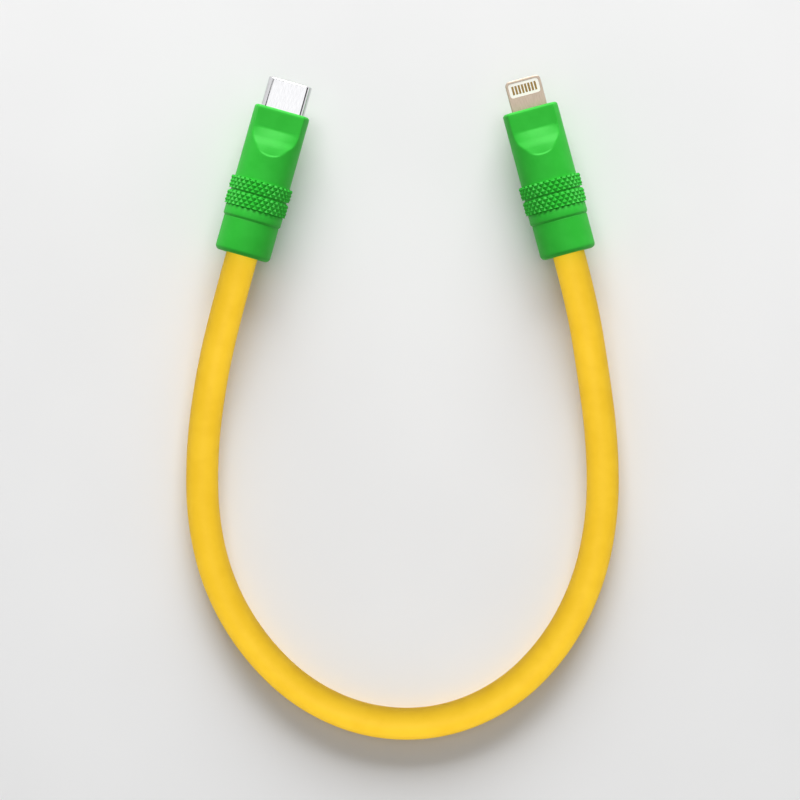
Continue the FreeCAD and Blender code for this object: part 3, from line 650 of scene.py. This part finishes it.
def inside_rings(tip_rooms):
    """The hollow from rear to front: the cord, the crimp ring, the can, then what tip_rooms says."""
    stations = [
        (BODY_LENGTH, CORD_MOUTH),
        (BODY_LENGTH - CRISP, CORD_ROOM),
        (RING_BACK, CORD_ROOM),
        (RING_BACK, RING_ROOM),
        (CAN_BACK, RING_ROOM),
        (CAN_BACK, CAN_ROOM),
        (CAN_FRONT, CAN_ROOM),
        *tip_rooms,
    ]
    return [ring(depth, outline) for depth, outline in stations]


print(f"the can lies {CAN_FRONT} to {CAN_BACK} mm behind the front")

# %% [markdown]
# ## Both mouldings
#
# The two plugs come from the same mould, but for the hole in front. The oval plug has an oval hole. The tab
# plug has a flat one, which is wider for a short way, where a flange on the tab keeps it from being pulled
# out. The plugs lean towards each other a little, and both rest on the points of their knurls.

# %% Both mouldings
SHELL_WIDTH = 8.25
SHELL_HEIGHT = 2.4
OVAL_ROOM = stadium(SHELL_WIDTH + GAP, SHELL_HEIGHT + GAP)
TAB_ROOM = rectangle(6.7 + GAP, 1.5 + GAP)
FLANGE_ROOM = rectangle(8.2 + GAP, 2.3 + GAP)
FLANGE_FRONT = 0.88
FLANGE_BACK = 2.82
OVAL_LEAN = -15.7
TAB_LEAN = 15.0


def plug_place(across, along, lean):
    """Where a plug's own frame lies: its origin is the middle of the front face, a knurl's radius high."""
    origin = Vector((across, along, KNURL_TIP)) * MM
    return Matrix.Translation(origin) @ Matrix.Rotation(math.radians(lean), 4, "Z")


def make_moulding(name, node, place, tip_rooms):
    """One plug's green moulding."""
    rings, split = outside_rings()
    piece = skin(name, rings + inside_rings(tip_rooms), split, place)
    piece.data.materials.append(green_rubber)
    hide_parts(node)
    return piece


OVAL_PLACE = plug_place(-22.81, 10.73, OVAL_LEAN)
TAB_PLACE = plug_place(23.13, 11.16, TAB_LEAN)
oval_hole = [(CAN_FRONT, OVAL_ROOM), (0, OVAL_ROOM)]
tab_hole = [
    (CAN_FRONT, TAB_ROOM),
    (FLANGE_BACK, TAB_ROOM),
    (FLANGE_BACK, FLANGE_ROOM),
    (FLANGE_FRONT, FLANGE_ROOM),
    (FLANGE_FRONT, TAB_ROOM),
    (0, TAB_ROOM),
]
make_moulding("oval_plug_grip", "oval_plug_body", OVAL_PLACE, oval_hole)
make_moulding("tab_plug_grip", "tab_plug_body", TAB_PLACE, tab_hole)

# %% [markdown]
# ## Metals
#
# Rolled or polished strip has fine scratches along it. They could be cut into the mesh, but they are far
# too fine for that, so they are streaks of noise along the plug: they change the metal's colour, its gloss
# and a little of its surface. Only the numbers differ from one metal to the next: the shell's nickel plate
# is nearly a mirror, and the tab's plating is warm and satin.

# %% Metals
SCRATCH_GLOSS = 0.1
SCRATCH_DEPTH = 0.001 * MM


def make_metal_finish(name, dark, bright, roughness, lean):
    """Metal with fine scratches along a plug that leans by so many degrees."""
    finish = Finish(name, metallic=1.0)
    scratches = finish.brushed(lean)
    finish.drive(
        base_color=finish.blend(scratches.between(*STREAK_EDGES), linear(*dark), linear(*bright)),
        roughness=roughness + SCRATCH_GLOSS * scratches,
    )
    finish.bump(scratches, SCRATCH_DEPTH)
    return finish.material


METALS = {
    "plated_steel": ("nickel_plate", (208, 208, 210), (220, 220, 222), 0.04, OVAL_LEAN),
    "tab_metal": ("tab_plate", (182, 165, 148), (198, 181, 164), 0.36, TAB_LEAN),
    "can_steel": ("tinned_steel", (176, 176, 174), (190, 190, 186), 0.35, TAB_LEAN),
    "spring_steel": ("spring_steel", (160, 160, 160), (176, 176, 176), 0.3, TAB_LEAN),
    "gold_contacts": ("gold_plate", (134, 108, 54), (148, 122, 64), 0.25, TAB_LEAN),
}
finishes = {slot: make_metal_finish(*numbers) for slot, numbers in METALS.items()}
print("metals:", ", ".join(finishes))

# %% [markdown]
# ## One finish for each material of the CAD model
#
# Every CAD piece names the material that it is made of. Painting them one by one would repeat the same
# finish many times, so a table from those names to finishes paints them all, also the ones inside, which
# nobody sees until the plug is opened: the core's wrap, the wires, the boards and the cans. The plastics
# use the rubbers' recipe.

# %% Paint the CAD pieces
PLASTICS = {
    "cord_core": ("core_wrap", (196, 196, 190), (208, 208, 204), 0.5),
    "white_plastic": ("white_plastic", (250, 246, 236), (253, 250, 242), 0.4),
    "black_plastic": ("black_plastic", (34, 34, 36), (44, 44, 46), 0.45),
    "board_green": ("solder_mask", (20, 88, 52), (26, 98, 60), 0.3),
    "chip_black": ("chip_black", (28, 28, 30), (36, 36, 38), 0.5),
    "capacitor_tan": ("capacitor_tan", (170, 138, 96), (182, 150, 106), 0.5),
    "red_wire": ("red_wire", (190, 36, 30), (204, 44, 36), 0.4),
    "black_wire": ("black_wire", (30, 30, 30), (40, 40, 40), 0.4),
    "green_wire": ("green_wire", (36, 138, 56), (44, 150, 66), 0.4),
    "white_wire": ("white_wire", (226, 226, 222), (236, 236, 232), 0.4),
}
finishes |= {slot: make_moulded_finish(*numbers) for slot, numbers in PLASTICS.items()}
finishes |= {"yellow_jacket": yellow_rubber, "green_moulding": green_rubber}

for row in frame["record"]["subparts"]:
    piece = frame["nodes"][row["node"]]
    piece.data.materials.clear()
    piece.data.materials.append(finishes[row["material_slot"]])
print("painted", len(frame["nodes"]), "CAD pieces")

# %% [markdown]
# ## The steel shell
#
# The oval plug's tip is a tube drawn from sheet steel, and the drawing leaves the edge of its mouth
# rounded. The CAD shell has only a flat chamfer there, which would mirror the lamps as one hard facet. So
# this mesh replaces it: the same tube, with rings that turn round the lip in small steps.

# %% Steel shell
SHELL_WALL = 0.25
SHELL_REACH = 5.55
SHELL_END = 5.0
LIP_RADIUS = 0.24
LIP_STEPS = 6


def shell_outline(inset):
    return stadium(SHELL_WIDTH - 2 * inset, SHELL_HEIGHT - 2 * inset)


shell_rings = []
for number in range(LIP_STEPS + 1):
    turn = math.radians(90 * number / LIP_STEPS)
    mouth = LIP_RADIUS * (1 - math.cos(turn)) - SHELL_REACH
    shell_rings.append(ring(mouth, shell_outline(LIP_RADIUS * (1 - math.sin(turn)))))
shell_rings.append(ring(SHELL_END, shell_outline(0)))
shell_rings += [ring(depth, shell_outline(SHELL_WALL)) for depth in (SHELL_END, -SHELL_REACH)]
steel_shell = skin("oval_plug_steel_shell", shell_rings, (), OVAL_PLACE)
steel_shell.data.materials.append(finishes["plated_steel"])
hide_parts("oval_plug_shell")

# %% [markdown]
# ## The table
#
# The cable lies on a plain pale table top. One flat sheet is enough for it, wide enough that no view from
# the side sees its edge. It lies a hair under Z = 0, so the cable's underside and the table never fill the
# same place.

# %% Table
TABLE_REACH = 1.5
TABLE_DROP = 0.02 * MM


def make_matt_finish(name, dark, bright, roughness, cloud_size):
    """A plain matt surface with faint clouds."""
    finish = Finish(name, roughness=roughness)
    finish.drive(base_color=finish.clouds(cloud_size, linear(*dark), linear(*bright)))
    return finish.material


def add_sheet(name, left, right, near, far, place, finish):
    """A flat rectangle beside the cable, which isn't part of it, between four distances from its place."""
    mesh = bpy.data.meshes.new(name)
    mesh.from_pydata([(left, near, 0), (right, near, 0), (right, far, 0), (left, far, 0)], [], [(0, 1, 2, 3)])
    mesh.materials.append(finish)
    sheet = bpy.data.objects.new(name, mesh)
    sheet.location = place
    bpy.context.scene.collection.objects.link(sheet)
    return sheet


table_top = make_matt_finish(
    "table_top", (238, 238, 238), (241, 241, 241), roughness=0.7, cloud_size=50 * MM
)
table_sides = (-TABLE_REACH, TABLE_REACH, -TABLE_REACH, TABLE_REACH)
add_sheet("table", *table_sides, (0, 0, -TABLE_DROP), table_top)
print(f"a table {2 * TABLE_REACH} m wide")

# %% [markdown]
# ## The lamps
#
# The light is soft and comes mostly from beyond the tips, low over the table, as from a window. So each
# ramp, which faces the tips, is much brighter than the flat in front of it, the knurl's grooves are dark,
# and so is every face that looks back along the cord. A plain sky could not do that, because it lights
# every face alike. A long soft box right above, with little power, is what the polished steel tip mirrors.
# Black cards hang beside the box and beyond it, as photographers do for metal, and the steel shows them as
# darker bands where its rounded sides begin.

# %% Lamps
def add_lamp(name, place, aim, width, height, power):
    """An oblong soft lamp that hangs at a place and shines at a point."""
    lamp = bpy.data.lights.new(name, "AREA")
    lamp.shape = "RECTANGLE"
    lamp.size = width
    lamp.size_y = height
    lamp.energy = power
    holder = bpy.data.objects.new(name, lamp)
    holder.location = place
    holder.rotation_euler = (Vector(aim) - Vector(place)).to_track_quat("-Z", "Y").to_euler()
    holder.visible_camera = False
    bpy.context.scene.collection.objects.link(holder)
    return holder


TABLE_MIDDLE = (0, -0.04, 0)
WINDOW_PLACE = (0, 1.15, 0.57)
WINDOW_WIDTH = 1.1
WINDOW_HEIGHT = 0.9
WINDOW_POWER = 27.5
window_lamp = add_lamp("window_lamp", WINDOW_PLACE, TABLE_MIDDLE, WINDOW_WIDTH, WINDOW_HEIGHT, WINDOW_POWER)

BOX_HEIGHT = 1.45
BOX_MIDDLE = 0.05
BOX_WIDTH = 1.5
BOX_DEPTH = 0.6
BOX_POWER = 1.2
box_place = (0, BOX_MIDDLE, BOX_HEIGHT)
add_lamp("top_box", box_place, (0, BOX_MIDDLE, 0), BOX_WIDTH, BOX_DEPTH, BOX_POWER)
print("window lamp", WINDOW_POWER, "W, top box", BOX_POWER, "W")

# %% Black cards
CARD_GAP = 0.03
CARD_SIDE = 0.95
CARD_REACH = 0.55
BESIDE = BOX_WIDTH / 2 + CARD_GAP
BEYOND = BOX_DEPTH / 2 + CARD_GAP
CARDS = {
    "left_card": (-BESIDE - CARD_SIDE, -BESIDE, -CARD_REACH, CARD_REACH),
    "right_card": (BESIDE, BESIDE + CARD_SIDE, -CARD_REACH, CARD_REACH),
    "far_card": (-CARD_REACH, CARD_REACH, BEYOND, BEYOND + CARD_SIDE),
}
black_card = make_matt_finish("black_card", (8, 8, 8), (12, 12, 12), roughness=0.9, cloud_size=20 * MM)
for name, sides in CARDS.items():
    add_sheet(name, *sides, box_place, black_card).visible_camera = False
print(len(CARDS), "cards")

# %% [markdown]
# ## The cord's own lamp
#
# The cord turns through half a circle, so a low lamp beyond the tips would burn out the inner side of the
# loop and leave its outer side dull. In the photograph the middle of the cord is evenly bright all along
# it, and what is darker is the inner edge at the bottom of the loop. That needs a lamp of its own, high and
# on the near side. Light linking tells a lamp which pieces it lights: the window leaves the cord out, and
# the cord's lamp lights nothing else.

# %% Cord lamp
CORD_LAMP_PLACE = (0, -0.5, 1.1)
CORD_LAMP_WIDTH = 0.9
CORD_LAMP_HEIGHT = 0.6
CORD_LAMP_POWER = 10.2


def choose_lit(lamp, piece, state):
    """Makes a lamp light one piece alone, with state INCLUDE, or everything else, with state EXCLUDE."""
    choice = bpy.data.collections.new(f"{lamp.name}_choice")
    choice.objects.link(piece)
    choice.collection_objects[0].light_linking.link_state = state
    lamp.light_linking.receiver_collection = choice


cord_lamp = add_lamp(
    "cord_lamp", CORD_LAMP_PLACE, TABLE_MIDDLE, CORD_LAMP_WIDTH, CORD_LAMP_HEIGHT, CORD_LAMP_POWER
)
choose_lit(cord_lamp, cord, "INCLUDE")
choose_lit(window_lamp, cord, "EXCLUDE")
print("cord lamp", CORD_LAMP_POWER, "W")

# %% [markdown]
# ## The room
#
# The room is an even pale grey. What the camera and polished metal see of it is white, because a picture of
# a product has a white background, while its light on the cable stays weak. More light would make the
# background white too, but it would bleach the cable. The Light Path node tells the two apart.

# %% Room
ROOM_LIGHT = 0.38
WHITE = (1, 1, 1, 1)

world = bpy.data.worlds.new("room")
bpy.context.scene.world = world
world.use_nodes = True
room = Network(world.node_tree)
kinds = ("Camera", "Glossy", "Transmission")
seen = sum(room.add("ShaderNodeLightPath", {}, {}, f"Is {kind} Ray") for kind in kinds)
strength = ROOM_LIGHT + (1 - ROOM_LIGHT) * seen
background = room.tree.nodes["Background"]
background.inputs["Color"].default_value = WHITE
room.tree.links.new(strength.socket, background.inputs["Strength"])
bpy.context.scene.view_settings.view_transform = "Standard"
print("room lit with strength", ROOM_LIGHT)
